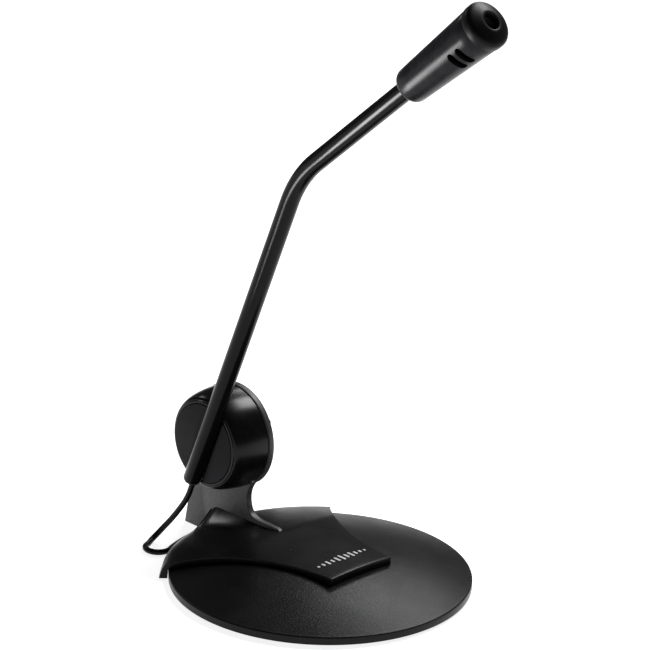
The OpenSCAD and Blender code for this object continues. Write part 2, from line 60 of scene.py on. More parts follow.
# Sizes shared with the CAD, in millimetres
BASE_R, EDGE_Z, FOOT_H, BASE_WALL, RIM_W = 55.0, 3.9, 1.0, 2.0, 2.2
DOME_K = 0.00229
DOME_TOP = EDGE_Z + DOME_K * BASE_R**2
BLADE_T = 2.6
PIVOT = Vector((0, 46.7, 43.5))
LEAN_LOW, LEAN_HIGH = math.radians(22.3), math.radians(51)
TUBE_X, TUBE_R, TUBE_BORE, TUBE_SHIFT, TUBE_BELOW = -17.0, 3.35, 2.25, 1.35, 15.8
LOWER_LEN, UPPER_LEN, BEND_R = 120.7, 64.0, 42.0
BEND_ANGLE = LEAN_HIGH - LEAN_LOW
BEND_TANGENT = BEND_R * math.tan(BEND_ANGLE / 2)
KNOB_R, KNOB_FACE_R, KNOB_BACK_X, KNOB_FACE_X, PAD_R = 19.4, 15.8, 1.6, 15.9, 15.0
SHELL_LEN, CAP_R, HEAD_REAR_R = 38.0, 8.1, 6.1
LEAD_R, EXIT_SHIFT, GROMMET_OUT = 1.1, 1.0, 0.7
PLUG_REAR, PLUG_HEADING = (82.1, 126.6, 4), math.radians(62)
# Gap between the base's dome and what lies on it
SKIN_GAP = 0.03


def add_object(name, data):
    obj = bpy.data.objects.new(name, data)
    bpy.context.scene.collection.objects.link(obj)
    return obj


# ---------- camera ----------
LENS, SENSOR = 137.58, 36
CAMERA_AT = (-583.698, -581.637, 374.801)
# Degrees; azimuth 0 is the front and 90 the right
CAMERA_AZIMUTH, CAMERA_ELEVATION, CAMERA_ROLL = -45.015, 18.5716, 1.8269


def make_camera():
    data = bpy.data.cameras.new("camera")
    data.lens, data.sensor_width = LENS, SENSOR
    data.clip_start, data.clip_end = 0.05, 50
    camera = add_object("camera", data)
    camera.matrix_world = (
        Matrix.Translation(Vector(CAMERA_AT) * MM)
        @ Matrix.Rotation(math.radians(CAMERA_AZIMUTH), 4, "Z")
        @ Matrix.Rotation(math.radians(90 - CAMERA_ELEVATION), 4, "X")
        @ Matrix.Rotation(math.radians(CAMERA_ROLL), 4, "Z")
    )
    bpy.context.scene.camera = camera


make_camera()


# ---------- mesh helpers ----------
def build(name, points, faces, matrix=None, sharp=35):
    """A mesh object from points in millimetres, with smooth shading split at sharp edges."""
    mesh = bpy.data.meshes.new(name)
    if matrix is not None:
        points = [matrix @ Vector(p) for p in points]
    mesh.from_pydata([Vector(p) * MM for p in points], [], faces)
    mesh.validate()
    fix_normals(mesh)
    finish_shading(mesh, sharp)
    return add_object(name, mesh)


def fix_normals(mesh):
    bm = bmesh.new()
    bm.from_mesh(mesh)
    bmesh.ops.remove_doubles(bm, verts=bm.verts, dist=1e-7)
    bmesh.ops.recalc_face_normals(bm, faces=bm.faces)
    bm.to_mesh(mesh)
    bm.free()


def finish_shading(mesh, sharp):
    mesh.shade_smooth()
    mesh.set_sharp_from_angle(angle=math.radians(sharp))


def skin(rings, sides, closed_rings=False, closed_sides=True):
    """Quads between rings of points that follow one another."""
    faces = []
    for i in range(rings if closed_rings else rings - 1):
        j = (i + 1) % rings
        for k in range(sides if closed_sides else sides - 1):
            m = (k + 1) % sides
            faces.append((i * sides + k, j * sides + k, j * sides + m, i * sides + m))
    return faces


def lathe(name, profile, matrix=None, sides=128, closed=False, sharp=35):
    """Turns a profile of (radius, height) about +Z. closed joins its last point to its first."""
    points = [
        (r * math.cos(math.tau * k / sides), r * math.sin(math.tau * k / sides), z)
        for r, z in profile
        for k in range(sides)
    ]
    return build(name, points, skin(len(profile), sides, closed_rings=closed), matrix, sharp)


def smooth_route(route, cuts):
    """Catmull-Rom curve through the points, with cuts pieces between each two."""
    pts = [Vector(p) for p in route]
    pts = [2 * pts[0] - pts[1], *pts, 2 * pts[-1] - pts[-2]]
    out = []
    for a, b, c, d in zip(pts, pts[1:], pts[2:], pts[3:]):
        for i in range(cuts):
            t = i / cuts
            out.append(
                0.5
                * (
                    2 * b
                    + (c - a) * t
                    + (2 * a - 5 * b + 4 * c - d) * t**2
                    + (3 * b - a - 3 * c + d) * t**3
                )
            )
    return [*out, pts[-2]]


def tube(name, route, radii, sides, sharp=60):
    """Closed tube along a route, whose ring i has radius radii[i]."""
    route = [Vector(p) for p in route]
    points = []
    side = None
    for i, p in enumerate(route):
        t = (route[min(i + 1, len(route) - 1)] - route[max(i - 1, 0)]).normalized()
        side = t.orthogonal() if side is None else side - t * side.dot(t)
        side = side.normalized()
        up = t.cross(side)
        for k in range(sides):
            a = math.tau * k / sides
            points.append(p + radii[i] * (math.cos(a) * side + math.sin(a) * up))
    last = (len(route) - 1) * sides
    caps = [tuple(range(sides)), tuple(range(last, last + sides))]
    return build(name, points, skin(len(route), sides) + caps, sharp=sharp)


def prism(name, outline, low, high, matrix=None, bevel=0.0, segments=2):
    """Extrudes an outline of (x, y) from low to high, and rounds its rims."""
    n = len(outline)
    bm = bmesh.new()
    rings = [[bm.verts.new((x, y, z)) for x, y in outline] for z in (low, high)]
    bm.faces.new(rings[0])
    bm.faces.new(rings[1])
    for k in range(n):
        m = (k + 1) % n
        bm.faces.new((rings[0][k], rings[0][m], rings[1][m], rings[1][k]))
    bmesh.ops.recalc_face_normals(bm, faces=bm.faces)
    if bevel:
        rims = [e for e in bm.edges if e.verts[0].co.z == e.verts[1].co.z]
        bmesh.ops.bevel(
            bm, geom=rims, offset=bevel, segments=segments, profile=0.5, affect="EDGES"
        )
    mesh = bpy.data.meshes.new(name)
    bm.to_mesh(mesh)
    bm.free()
    mesh.transform(Matrix.Scale(MM, 4) @ (matrix or Matrix.Identity(4)))
    finish_shading(mesh, 35)
    return add_object(name, mesh)


def apply_modifiers(obj, sharp=35):
    dg = bpy.context.evaluated_depsgraph_get()
    mesh = bpy.data.meshes.new_from_object(obj.evaluated_get(dg))
    obj.modifiers.clear()
    old, obj.data = obj.data, mesh
    bpy.data.meshes.remove(old)
    finish_shading(mesh, sharp)
    return obj


def cut(obj, cutters, sharp=35):
    """Takes the cutters away from obj and removes them."""
    for cutter in cutters:
        m = obj.modifiers.new("cut", "BOOLEAN")
        m.operation, m.solver, m.object = "DIFFERENCE", "EXACT", cutter
    apply_modifiers(obj, sharp)
    for cutter in cutters:
        bpy.data.objects.remove(cutter)
    return obj


def rounded(obj, width, segments=2, angle=40, sharp=35):
    """Rounds every edge sharper than angle."""
    m = obj.modifiers.new("bevel", "BEVEL")
    m.width, m.segments, m.limit_method = width * MM, segments, "ANGLE"
    m.angle_limit = math.radians(angle)
    m.use_clamp_overlap = True
    return apply_modifiers(obj, sharp)


def arc(centre, radius, start, end, steps):
    """Points of a circular arc, with its angles in degrees."""
    return [
        (
            centre[0] + radius * math.cos(math.radians(start + (end - start) * i / steps)),
            centre[1] + radius * math.sin(math.radians(start + (end - start) * i / steps)),
        )
        for i in range(steps + 1)
    ]


# ---------- places ----------
def on_pivot(x):
    """Turns +Z onto -X along the hinge axis, starting at distance x from the blade's middle."""
    return Matrix.Translation((-x, PIVOT.y, PIVOT.z)) @ Matrix.Rotation(-math.pi / 2, 4, "Y")


def on_lower(s):
    """+Z runs up the lower straight; s = 0 is beside the hinge axis."""
    return (
        Matrix.Translation((TUBE_X, PIVOT.y, PIVOT.z))
        @ Matrix.Rotation(LEAN_LOW, 4, "X")
        @ Matrix.Translation((0, -TUBE_SHIFT, s))
    )


def on_head(s):
    """+Z runs from the head's rear shoulder to its front."""
    return on_lower(LOWER_LEN) @ Matrix.Rotation(BEND_ANGLE, 4, "X") @ Matrix.Translation(
        (0, 0, UPPER_LEN + s)
    )


def on_plug(s):
    """+Z runs from the plug's rear to the tip of its pin."""
    return (
        Matrix.Translation(PLUG_REAR)
        @ Matrix.Rotation(PLUG_HEADING, 4, "Z")
        @ Matrix.Rotation(math.pi / 2, 4, "Y")
        @ Matrix.Translation((0, 0, s))
    )


def dome_z(r):
    return DOME_TOP - DOME_K * r * r


def boom_route(start, end, off, steps):
    """Points of the boom's line, moved forward by off."""
    centre = on_lower(LOWER_LEN - BEND_TANGENT) @ Vector((0, -BEND_R, 0))
    bend = [
        centre
        + (BEND_R - off)
        * Vector(
            (
                0,
                math.cos(LEAN_LOW + BEND_ANGLE * i / steps),
                math.sin(LEAN_LOW + BEND_ANGLE * i / steps),
            )
        )
        for i in range(steps + 1)
    ]
    return [on_lower(start) @ Vector((0, -off, 0)), *bend, on_head(end) @ Vector((0, -off, 0))]


# ---------- lead ----------
LEAD_ROUTE = [
    (-17.1, 53.3, 21.5), (-17.2, 54.2, 19.6), (-17.4, 55.9, 16.9), (-17.9, 58.6, 13),
    (-18.6, 61.4, 9.2), (-19.6, 63.8, 6), (-21.2, 65.4, 3.3), (-23.6, 65.7, 1.6), (-26.6, 64.4, 1.1),
    (-29.4, 63, 1.1), (-30.9, 60.3, 1.1), (-30.5, 57.2, 1.1), (-28.4, 55, 1.1),
    (-25.4, 54.6, 1.1), (-22.4, 55.9, 1.1), (-19, 57.1, 1.1), (-15, 58.3, 1.1),
    (-10, 59.4, 1.1), (-5, 60, 1.1), (0, 60.2, 1.1), (5, 60.7, 1.1), (10, 62.4, 1.1),
    (14.5, 65.5, 1.1), (18.6, 69.4, 1.1), (22.4, 73.8, 1.1), (26.2, 78.4, 1.1),
    (30.2, 83, 1.1), (35, 87.4, 1.1), (40.5, 91, 1.1), (46.8, 94.2, 1.1), (53.4, 97, 1.1),
    (60, 99.7, 1.1),
]  # fmt: skip
TAIL_ROUTE = [
    (75.2, 110.4, 12.1), (76.5, 113.5, 11.8), (77.8, 116.7, 10.6), (79, 119.6, 8.4),
    (80.1, 122.3, 5.9), (81.1, 124.6, 4.3), PLUG_REAR,
]  # fmt: skip
COIL_AT, COIL_START, COIL_TURNS = (62, 116), -68, 17.125
TURN_RADII, TURN_STEPS, SHIFT_SHARE = (14.3, 12.1, 9.9), 24, 1 / 6


def coil_spot(w):
    """Radius and height of the coil's line after w turns: three turns to a layer."""

    def spot(turn):
        layer, place = divmod(turn, 3)
        return TURN_RADII[place if layer % 2 == 0 else 2 - place], LEAD_R + 2 * LEAD_R * layer

    turn = int(w)
    r0, z0 = spot(turn)
    r1, z1 = spot(turn + 1)
    t = max(0, (w - turn - 1 + SHIFT_SHARE) / SHIFT_SHARE)
    t = t * t * (3 - 2 * t)
    return r0 + (r1 - r0) * t, z0 + (z1 - z0) * t


def coil_route():
    points = []
    for i in range(round(COIL_TURNS * TURN_STEPS) + 1):
        w = i / TURN_STEPS
        r, z = coil_spot(w)
        a = math.radians(COIL_START) + math.tau * w
        points.append((COIL_AT[0] + r * math.cos(a), COIL_AT[1] + r * math.sin(a), z))
    return points


stub = [on_lower(-TUBE_BELOW - GROMMET_OUT - s) @ Vector((0, -EXIT_SHIFT, 0)) for s in (0, 2.6, 5.2)]
# The stub ends next to the route's first point, so that point is left out
run = [*stub, *LEAD_ROUTE[1:]]
lead_line = [*smooth_route(run, 4), *coil_route(), *smooth_route(TAIL_ROUTE, 3)]
lead = tube("lead", lead_line, [LEAD_R] * len(lead_line), 12)


# ---------- base ----------
def shell_profile():
    """Base shell: domed top, rounded edge, rim and hollow underside."""
    top = [(r * BASE_R / 40, dome_z(r * BASE_R / 40)) for r in range(0, 40)]
    top[0] = (0.0, DOME_TOP)
    edge_r, top_round, low_round = BASE_R, 0.55, 0.35
    top_z = dome_z(BASE_R - top_round)
    top += [
        (edge_r - top_round + top_round * math.sin(a), top_z - top_round + top_round * math.cos(a))
        for a in (math.radians(15 * i) for i in range(7))
    ]
    low = [
        (edge_r - low_round + low_round * math.cos(a), FOOT_H + low_round - low_round * math.sin(a))
        for a in (math.radians(22.5 * i) for i in range(5))
    ]
    inner_r = BASE_R - RIM_W
    under = [(inner_r * i / 16, dome_z(inner_r * i / 16) - BASE_WALL) for i in range(16, -1, -1)]
    return [*top, *low, (inner_r, FOOT_H), *under]


base_shell = lathe("base_shell", shell_profile(), sides=256, sharp=50)
foot_pad = lathe(
    "foot_ring",
    [(0, 0.5), (36, 0.5), (36.6, 0), (42.9, 0), (43.35, 0.15), (43.5, 0.5), (43.5, FOOT_H), (0, FOOT_H)],
    sides=192,
)

# Cover: the side edges are arcs, the top is a flat cylinder that meets a shoulder dome
FRONT_W, FRONT_Y, ARC_R, ARC_X, ARC_Y = 15.0, 20.6, 83.6, 98.5, -24.0
CROWN_Z, CROWN_R2, SHOULDER_TOP, SHOULDER_K = 12.85, 370.0, 13.86, 0.00244
KNEE, CORNER, TOE, SKIRT = (52.0, 7.262), (56.6, 6.2), (57.4, 4.0), (58.4, 0.5)


def crown_z(x):
    return CROWN_Z - x * x / CROWN_R2


def cover_z(x, y):
    """Top of the cover, its two surfaces eased into each other."""
    a, b = crown_z(x), SHOULDER_TOP - SHOULDER_K * (x * x + y * y)
    ease = 0.35
    h = min(max(0.5 + 0.5 * (b - a) / ease, 0), 1)
    return b + (a - b) * h - ease * h * (1 - h) * 0.5


def toe_curve(t):
    """Radius and height of the shoulder's rounded edge, from the knee (t = 0) to the toe."""
    return tuple(
        (1 - t) ** 2 * knee + 2 * t * (1 - t) * corner + t * t * toe
        for knee, corner, toe in zip(KNEE, CORNER, TOE)
    )


def shoulder_z(r):
    """Height of the cover's shoulder, with its rounded edge beyond the knee."""
    if r < KNEE[0]:
        return SHOULDER_TOP - SHOULDER_K * r * r
    a, b = CORNER[0] - KNEE[0], TOE[0] - KNEE[0]
    t = (a - math.sqrt(a * a - (2 * a - b) * (min(r, TOE[0]) - KNEE[0]))) / (2 * a - b)
    return toe_curve(t)[1]


def side_edge(radius):
    """Where the right side edge crosses a circle about the base's middle."""
    reach = math.hypot(ARC_X, ARC_Y)
    along = (radius**2 - ARC_R**2 + reach**2) / (2 * reach)
    a = math.atan2(ARC_Y, ARC_X) + math.acos(along / radius)
    return radius * math.cos(a), radius * math.sin(a)


def cover_rows(across, down):
    """Matching rows of points of the cover's top and underside, from the front to the skirt."""
    top, under = [], []
    edge = side_edge(KNEE[0])
    start = math.atan2(-FRONT_Y - ARC_Y, FRONT_W - ARC_X)
    end = math.atan2(edge[1] - ARC_Y, edge[0] - ARC_X)
    start, end = (a % math.tau for a in (start, end))
    # Columns, closer together towards the side edges
    trim = 0.06
    turns = [trim + (1 - 2 * trim) * k / across for k in range(across + 1)]
    spread = [-math.cos(math.pi * t) / math.cos(math.pi * trim) for t in turns]
    for i in range(down + 1):
        v = i / down
        a = start + (end - start) * v
        bx, by = ARC_X + ARC_R * math.cos(a), ARC_Y + ARC_R * math.sin(a)
        w = v**1.5
        row = []
        for s in spread:
            x = s * bx
            sag = math.sqrt(KNEE[0] ** 2 - (s * edge[0]) ** 2) - edge[1]
            row.append((x, by + w * sag))
        top.append([(x, y, cover_z(x, y)) for x, y in row])
        under.append([(x, y, dome_z(math.hypot(x, y)) + SKIN_GAP) for x, y in row])
    bend = [toe_curve(i / 8) for i in range(1, 9)]
    outer = [*bend, (57.75, 2.8), (58.1, 1.6), SKIRT]
    start_r, inner_r = 52.5, BASE_R + 0.3
    inner = [(start_r + (inner_r - start_r) * i / 7, None) for i in range(8)]
    inner += [(inner_r, 3.0), (inner_r, 1.8), (inner_r, 0.5)]
    for (ro, zo), (ri, zi) in zip(outer, inner):
        for rows, radius, z in ((top, ro, zo), (under, ri, zi)):
            ex, ey = side_edge(radius)
            row = []
            for s in spread:
                x = s * ex
                y = math.sqrt(radius**2 - x * x)
                height = dome_z(radius) + SKIN_GAP if z is None else z
                if rows is top:
                    height = min(height, crown_z(x))
                row.append((x, y, height))
            rows.append(row)
    return top, under


def make_cover():
    across, down = 72, 56
    top, under = cover_rows(across, down)
    n, rows = across + 1, len(top)
    points = [p for row in top for p in row] + [p for row in under for p in row]
    faces = skin(rows, n, closed_sides=False)
    low = rows * n
    faces += [tuple(low + k for k in reversed(f)) for f in faces]
    for i in range(rows - 1):
        for k in (0, across):
            a, b = i * n + k, (i + 1) * n + k
            faces.append((a, b, low + b, low + a))
    for k in range(across):
        for i in (0, rows - 1):
            a = i * n + k
            faces.append((a, a + 1, low + a + 1, low + a))
    cover = build("cover", points, faces)
    return rounded(cover, 0.4, segments=3, angle=50)


cover = make_cover()


def make_flare(side):
    """Concave fairing between the blade's foot and the cover."""
    steps, across = 36, 18
    y0, y1, rise, tip, width, drop = 28.0, 58.2, 6.2, 1.2, 10.8, 0.8
    reach = TOE[0] + 0.7
    points = []
    for i in range(steps + 1):
        t = i / steps
        y = y0 + (y1 - y0) * t
        w = tip + (width - tip) * t**0.8
        x0 = BLADE_T / 2 - 0.1
        ring = []
        for j in range(across + 1):
            v = j / across
            x = x0 + w * v
            back = min(y, math.sqrt(reach**2 - x * x))
            low = min(cover_z(x, back), shoulder_z(math.hypot(x, back)))
            ring.append((side * x, back, low + (rise * t**1.2 + 0.1) * (1 - v) ** 1.6 + 0.02))
        ring += [(side * x, back, low - drop), (side * x0, min(y, reach), low - drop)]
        points += ring
    n = across + 3
    caps = [tuple(range(n)), tuple(range(steps * n, (steps + 1) * n))]
    name = "flare_right" if side > 0 else "flare_left"
    return build(name, points, skin(steps + 1, n) + caps)


flares = [make_flare(-1), make_flare(1)]

MARK_BARS = (1.2, 1.9, 2.9, 2.1, 3.4, 4.2, 3.0, 3.7, 2.4, 1.7, 1.2)
MARK_PITCH, MARK_Y, MARK_R, MARK_PROUD = 2.3, -10.5, 0.5, 0.12


def make_mark():
    """Row of rounded sound-level bars, which follow the cover's crown."""
    points, faces = [], []
    for i, length in enumerate(MARK_BARS):
        cx = (i - (len(MARK_BARS) - 1) / 2) * MARK_PITCH
        half = length / 2 - MARK_R
        outline = arc((cx, MARK_Y + half), MARK_R, 0, 180, 8)
        outline += arc((cx, MARK_Y - half), MARK_R, 180, 360, 8)
        n, start = len(outline), len(points)
        points += [(x, y, cover_z(x, y) - 0.3) for x, y in outline]
        points += [(x, y, cover_z(x, y) + MARK_PROUD * 0.6) for x, y in outline]
        points += [
            (cx + (x - cx) * 0.86, y, cover_z(x, y) + MARK_PROUD) for x, y in outline
        ]
        for ring in (0, 1):
            for k in range(n):
                m = (k + 1) % n
                a, b = start + ring * n, start + (ring + 1) * n
                faces.append((a + k, a + m, b + m, b + k))
        faces.append(tuple(start + k for k in range(n)))
        faces.append(tuple(start + 2 * n + k for k in range(n)))
    return build("level_bars", points, faces, sharp=60)


mark = make_mark()


# ---------- stand ----------
# Turns an outline of (y, z) upright, with its thickness along X
SIDE_ON = Matrix(((0, 0, 1, 0), (1, 0, 0, 0), (0, 1, 0, 0), (0, 0, 0, 1)))
TONGUE_Y, TONGUE_TAPER, TONGUE_TIP_SHARE, TONGUE_END_Y = 21, 15, 0.72, 55.3


def blade_outline():
    """The blade's outline in (y, z): rear edge, round head, neck fillet, tongue and foot."""
    head, neck = (PIVOT.y, PIVOT.z), (28.4, 20.5)
    rear_low, rear_high = Vector((72.9, 0.3)), Vector((65.76, 38.1))
    points = [tuple(rear_low.lerp(rear_high, t)) for t in (0, 0.1, 0.3, 0.6, 0.85)]
    points += arc(head, 19.8, -15.8, 231.5, 84)
    points += arc(neck, 10.0, 48, -25, 20)
    a, b, c = Vector(points[-1]), Vector((36, 13.4)), Vector((30, 13.4))
    points += [tuple(a.lerp(b, t / 8).lerp(b.lerp(c, t / 8), t / 8)) for t in range(1, 9)]
    points += [(26, 13.4), (23, 13.4), (21.9, 13.25), (21.2, 12.85), (TONGUE_Y, 12.3)]
    under = [TONGUE_Y + (TONGUE_END_Y - TONGUE_Y) * i / 10 for i in range(11)]
    points += [(y, dome_z(y) + SKIN_GAP) for y in under]
    points += [(TONGUE_END_Y, 0.3), (58.6, 0.3), *arc((60.2, 1.3), 1.6, 180, 0, 12), (61.8, 0.3)]
    return points


def make_blade():
    blade = prism(
        "blade", blade_outline(), -BLADE_T / 2, BLADE_T / 2, SIDE_ON, bevel=0.28, segments=3
    )
    # The tongue tapers towards its tip
    for v in blade.data.vertices:
        t = min(max((v.co.y / MM - TONGUE_Y) / TONGUE_TAPER, 0), 1)
        v.co.x *= TONGUE_TIP_SHARE + (1 - TONGUE_TIP_SHARE) * t
    return blade


blade = make_blade()

cap_profile = [(5, 0), (9, 0), (9, 1.5), (8.85, 2.1), (8.4, 2.8), (7.6, 3.5), (6.4, 4.0)]
cap_profile += [(4.6, 4.4), (2.3, 4.7), (0, 4.8), (0, 3.6), (5, 3.6)]
pivot_cap = lathe(
    "pivot_cover", cap_profile, on_pivot(-BLADE_T / 2) @ Matrix.Scale(-1, 4, Z), closed=True
)


# ---------- knob ----------
def knob_profile():
    """Solid of the knob: rounded side, bevelled rim, recessed face and hollow back."""
    depth = KNOB_FACE_X - KNOB_BACK_X
    rim = 0.4
    side = [
        (
            KNOB_R - (KNOB_R - KNOB_FACE_R - rim) * (1 - math.cos(math.radians(a))),
            (depth - rim) * math.sin(math.radians(a)),
        )
        for a in range(0, 91, 3)
    ]
    face = [
        (KNOB_FACE_R + 0.25, depth - 0.13),
        (KNOB_FACE_R + 0.05, depth - 0.02),
        (KNOB_FACE_R - 0.2, depth),
        (PAD_R + 0.25, depth),
        (PAD_R + 0.1, depth - 0.2),
        (PAD_R + 0.1, depth - 1.1),
        (0, depth - 1.1),
    ]
    back = [(0, depth - 1.9), (6, depth - 1.9), (6, 5.9), (2.08, 5.9), (2.08, 1.8), (7.3, 1.8)]
    back += [(7.3, 0), (8.4, 0), (8.4, 8), (16.4, 8), (16.4, 0)]
    return [*back, *side, *face]


tube_cutter = tube(
    "tube_cutter",
    [on_lower(s).translation for s in (-30, 30)],
    [TUBE_R + 0.16] * 2,
    64,
)
knob = lathe("knob_body", knob_profile(), on_pivot(KNOB_BACK_X), sides=192)
cut(knob, [tube_cutter], sharp=30)


def make_pad(side):
    """Half-moon of the grained face, beside the tube."""
    radius = PAD_R
    # Local +X runs up the tube and local +Y away from it, so the tube's line is y = -TUBE_SHIFT
    off = TUBE_R + 0.75 - side * TUBE_SHIFT
    start = math.degrees(math.asin(off / radius))
    outline = arc((0, 0), radius, start + 2, 178 - start, 72)
    reach = radius * math.cos(math.radians(start)) - 0.7
    outline += [(-reach, off), (reach, off)]
    where = on_pivot(KNOB_FACE_X - 1.08) @ Matrix.Rotation(-LEAN_LOW, 4, "Z")
    if side < 0:
        outline = [(x, -y) for x, y in reversed(outline)]
    name = "pad_front" if side < 0 else "pad_rear"
    return prism(name, outline, 0, 1.35, where, bevel=0.3, segments=3)


pads = [make_pad(-1), make_pad(1)]


# ---------- boom ----------
def make_boom():
    """Tube with a rounded lower end, open as far as the grommet."""
    route = boom_route(-TUBE_BELOW, 10, 0, 36)
    start = route[0]
    way = (route[1] - route[0]).normalized()
    lip = 0.35
    line, radii = [start + way * 3.5], [TUBE_BORE]
    for along, radius in ((0.05, TUBE_BORE), (0, TUBE_BORE + 0.1), (0, TUBE_R - lip)):
        line.append(start + way * along)
        radii.append(radius)
    for a in (30, 60, 90):
        line.append(start + way * lip * (1 - math.cos(math.radians(a))))
        radii.append(TUBE_R - lip * (1 - math.sin(math.radians(a))))
    span = (route[1] - line[-1]).length
    line += [line[-1] + way * span * i / 8 for i in range(1, 8)]
    radii += [TUBE_R] * 7
    straight = len(line)
    line += route[1:]
    radii += [TUBE_R] * (len(route) - 1)
    return swept("boom", line, radii, way, straight)


def swept(name, line, radii, way, straight):
    """Tube whose first rings, straight of them, face way, so that they can double back."""
    sides, points, side = 64, [], X
    for i, p in enumerate(line):
        if i < straight:
            t = way
        else:
            t = (line[min(i + 1, len(line) - 1)] - line[i - 1]).normalized()
        up = t.cross(side)
        for k in range(sides):
            a = math.tau * k / sides
            points.append(p + radii[i] * (math.cos(a) * side + math.sin(a) * up))
    last = (len(line) - 1) * sides
    caps = [tuple(range(sides)), tuple(range(last, last + sides))]
    return build(name, points, skin(len(line), sides) + caps)


boom = make_boom()
grommet = lathe(
    "grommet",
    [(0, 0), (2.5, 0), (2.85, 0.1), (3.0, 0.35), (3.0, 0.7), (2.2, 0.7), (2.2, 4.4), (0, 4.4)],
    on_lower(-TUBE_BELOW - GROMMET_OUT),
    sides=64,
)


# ---------- head ----------
VENT_Z, VENT_ANGLES = (27.0, 30.9), (226, 314)
VENT_R, VENT_HALF = 1.3, 2.4


def head_r(z):
    return HEAD_REAR_R + (CAP_R - 0.2 - HEAD_REAR_R) * z / SHELL_LEN


def make_head():
    wall = 1.3
    outer = [(TUBE_R + 0.03, 0), (4.9, 0), (5.4, 0.12), (5.75, 0.45), (5.98, 0.95)]
    outer += [(head_r(z), z) for z in (1.6, 6, 12, 20, 28, 34, SHELL_LEN - 0.25)]
    outer += [(head_r(SHELL_LEN) - 0.08, SHELL_LEN - 0.06), (head_r(SHELL_LEN) - 0.25, SHELL_LEN)]
    inner = [(head_r(SHELL_LEN) - wall, SHELL_LEN), (head_r(10) - wall, 10), (4.15, 10)]
    inner += [(4.15, 7), (TUBE_R + 0.03, 7)]
    head = lathe("head_body", outer + inner, on_head(0), sides=160, closed=True)
    cutters = []
    slot = arc((0, VENT_HALF), VENT_R, 0, 180, 16) + arc((0, -VENT_HALF), VENT_R, 180, 360, 16)
    for z in VENT_Z:
        for angle in VENT_ANGLES:
            where = (
                on_head(z)
                @ Matrix.Rotation(math.radians(angle), 4, "Z")
                @ Matrix.Rotation(math.pi / 2, 4, "Y")
            )
            cutters.append(prism("vent_cutter", slot, 4.5, 11, where))
    return cut(head, cutters)


head = make_head()


def make_cap():
    r = CAP_R
    profile = [(6.2, 0.02), (r - 0.3, 0.02), (r - 0.08, 0.1), (r, 0.32), (r, 2.2)]
    profile += [(r - 0.12, 2.75), (r - 0.42, 3.25), (r - 0.9, 3.65), (r - 1.6, 4.0)]
    profile += [(r - 2.6, 4.42), (r - 3.6, 4.75), (3.9, 4.95), (3.3, 5.0), (2.95, 4.9)]
    profile += [(2.75, 4.6), (2.7, 2.6), (5.6, 2.6), (5.6, -1.4), (6.15, -1.4)]
    return lathe("front_rim", profile, on_head(SHELL_LEN), sides=160, closed=True)


cap = make_cap()


# ---------- plug and tie ----------
relief_profile = [(0, 0), (1.35, 0), (1.5, 0.2)]
for i in range(5):
    z = 0.6 + 1.8 * i
    r = 1.55 + 0.2 * i
    relief_profile += [(r, z), (r + 0.12, z + 0.2), (r + 0.2, z + 1.0), (r - 0.05, z + 1.2)]
    relief_profile += [(r - 0.05, z + 1.6)]
relief_profile += [(2.6, 10), (0, 10)]
relief = lathe("plug_sleeve", relief_profile, on_plug(0), sides=48)

grip_profile = [(0, 0), (2.9, 0), (3.1, 0.2), (3.4, 0.9), (3.8, 1.9), (4, 2.6), (4, 4)]
for i in range(7):
    z = 4.4 + 1.3 * i
    grip_profile += [(4, z), (3.75, z + 0.2), (3.75, z + 0.5), (4, z + 0.7)]
grip_profile += [(4, 14.4), (3.8, 16.5), (3.5, 19), (3.2, 19.7), (2.8, 20), (0, 20)]
grip = lathe("plug_body", grip_profile, on_plug(10), sides=72)

pin_profile = [(0, 0), (1.9, 0), (1.9, 0.4), (1.75, 0.45), (1.75, 5), (1.4, 5), (1.4, 5.8)]
pin_profile += [(1.75, 5.8), (1.75, 8.3), (1.4, 8.3), (1.4, 9.1), (1.75, 9.1), (1.75, 10.5)]
pin_profile += [(1.4, 10.9), (1.15, 11.3), (1.35, 11.8), (1.65, 12.1), (1.7, 12.4)]
pin_profile += [(1.5, 13.1), (1.1, 13.6), (0.5, 13.95), (0, 14)]
pin = lathe("jack_pin", pin_profile, on_plug(30), sides=48)


def make_tie():
    """Strap round the coil, on a path of rounded corners in the coil's section."""
    wide, high, thick, width, corner = 6.6, 13.2, 0.6, 5.0, 0.9
    half = width / 2
    path = []
    for cx, cz, start in (
        (wide / 2 - corner, high - corner, 0),
        (-wide / 2 + corner, high - corner, 90),
        (-wide / 2 + corner, corner, 180),
        (wide / 2 - corner, corner, 270),
    ):
        for i in range(7):
            a = math.radians(start + 15 * i)
            path.append((cx + corner * math.cos(a), cz + corner * math.sin(a), math.cos(a), math.sin(a)))
    points = []
    for x, z, nx, nz in path:
        for across, out in (
            (-half, 0.1), (-half, 1), (-half + 0.15, 1), (half - 0.15, 1), (half, 1), (half, 0.1)
        ):  # fmt: skip
            lift = thick * out * (1 if nz > -0.5 else 0.0)
            points.append((TURN_RADII[1] + x + nx * lift, across, max(z + nz * lift, 0.02)))
    where = Matrix.Translation((*COIL_AT, 0)) @ Matrix.Rotation(math.radians(330), 4, "Z")
    return build("coil_strap", points, skin(len(path), 6, closed_rings=True), where)


tie = make_tie()


